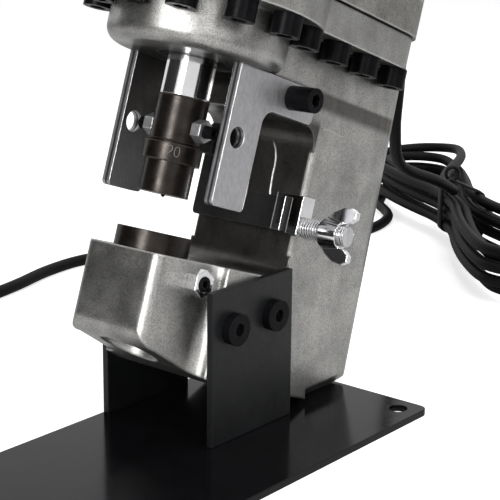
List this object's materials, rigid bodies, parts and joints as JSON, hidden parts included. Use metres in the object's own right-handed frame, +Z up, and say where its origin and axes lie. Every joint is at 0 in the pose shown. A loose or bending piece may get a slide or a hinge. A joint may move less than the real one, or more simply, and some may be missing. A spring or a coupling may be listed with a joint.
{
  "type": "hydraulic hole punch",
  "caption": "Electric hydraulic hole punch: C-frame with ram, round punch and die, stripper plates and stop, leaning back on a bench stand, motor and handle on top, mains cord in a tied hank.",
  "frame": {"origin": "middle of the base plate's underside", "axes": "+Z up, the throat and punch face -Y, the wing nut and release knob are on the +X side; the machine leans back 19 degrees toward +Y on the stand"},
  "size_m": [0.2872, 0.5684, 0.4157],
  "materials": {
    "cast_steel": "sand-cast silver grey, mottled",
    "cast_alloy": "sand-cast silver grey",
    "plate": "zinc grey with bright cut edges",
    "black_oxide": "dark brown-black oxide",
    "black_screw": "black oxide",
    "chrome": "polished",
    "steel": "ground",
    "black_paint": "gloss black",
    "rubber": "black, satin",
    "bronze": "machined",
    "shell": "fine texture",
    "red": "moulded",
    "winding": "varnished copper and laminations",
    "pin": "plated"
  },
  "bodies": {
    "frame": {"base_plate": "black_paint", "upright_left": "black_paint", "upright_right": "black_paint", "upright_bolts": "black_screw", "c_frame": "cast_steel", "die": "black_oxide", "die_set_screw": "black_screw", "die_lock_nut": "chrome", "gland_bush": "bronze", "rod_wiper": "rubber", "return_spring": "steel", "stripper_left": "plate", "stripper_right": "plate", "stripper_screws": "black_screw", "flange_gasket": "rubber", "flange_screws": "black_screw", "pump_base": "cast_alloy", "pump_body": "cast_alloy", "oil_plug": "bronze", "relief_valve_cap": "black_screw", "barrel_plug": "black_screw", "gear_bearings": "steel", "gear_case": "cast_alloy", "gear_case_screws": "black_screw", "motor_bearings": "steel", "stator": "winding", "brush_holders": "bronze", "brush_caps": "shell", "motor_housing": "cast_alloy", "motor_cap": "shell", "handle_left": "shell", "handle_right": "shell", "handle_screws": "black_screw", "switch_body": "shell", "strain_relief": "rubber", "cord_drop": "rubber", "cord_hank": "rubber", "cord_tail": "rubber", "cord_tie": "rubber", "plug": "rubber"},
    "ram": {"ram": "chrome", "piston_seal": "rubber", "coupling_nut": "black_oxide", "punch": "black_oxide", "punch_set_screws": "black_screw", "punch_lock_nuts": "chrome"},
    "stop": {"stop_bar": "black_oxide", "stop_clamp": "chrome", "stop_stud": "steel"},
    "wing": {"wing_nut": "chrome"},
    "release": {"release_knob": "shell"},
    "rotor": {"rotor": "steel", "commutator": "winding", "motor_fan": "shell"},
    "gear": {"drive_gear": "steel", "eccentric_shaft": "steel"},
    "plunger": {"pump_plunger": "steel"},
    "trigger": {"trigger": "red"},
    "lock": {"lock_button": "red"}
  },
  "joints": [
    {"name": "ram_slide", "type": "slide", "parent": "frame", "child": "ram", "axis": [0, -0.3256, -0.9455], "range_m": [0, 0.024], "stiffness_N_per_m": 900, "springref_m": -0.03, "deforming": ["return_spring"]},
    {"name": "stop_slide", "type": "slide", "parent": "frame", "child": "stop", "axis": [0, -0.9455, 0.3256], "range_m": [0, 0.015]},
    {"name": "wing_turn", "type": "hinge", "parent": "stop", "child": "wing", "pos_m": [0.02, 0.05574, 0.08416], "axis": [1, 0, 0], "continuous": true},
    {"name": "release_turn", "type": "hinge", "parent": "frame", "child": "release", "pos_m": [0.0215, 0.10146, 0.18993], "axis": [1, 0, 0], "range_deg": [0, 180]},
    {"name": "rotor_spin", "type": "hinge", "parent": "frame", "child": "rotor", "pos_m": [-0.02, 0.10325, 0.28726], "axis": [0, 0.3256, 0.9455], "continuous": true},
    {"name": "gear_spin", "type": "hinge", "parent": "frame", "child": "gear", "pos_m": [-0.02, 0.10666, 0.21734], "axis": [0, 0.3256, 0.9455], "continuous": true},
    {"name": "plunger_slide", "type": "slide", "parent": "frame", "child": "plunger", "axis": [0, 0.9455, -0.3256], "range_m": [0, 0.006], "stiffness_N_per_m": 500, "springref_m": -0.002},
    {"name": "trigger_pull", "type": "slide", "parent": "frame", "child": "trigger", "axis": [0, 0.3256, 0.9455], "range_m": [0, 0.0045], "stiffness_N_per_m": 600, "springref_m": -0.002},
    {"name": "lock_press", "type": "slide", "parent": "frame", "child": "lock", "axis": [-1, 0, 0], "range_m": [0, 0.003], "stiffness_N_per_m": 400, "springref_m": -0.001}
  ],
  "couplings": [
    {"joint": "gear_spin", "follows": "rotor_spin", "ratio": -0.27778}
  ]
}
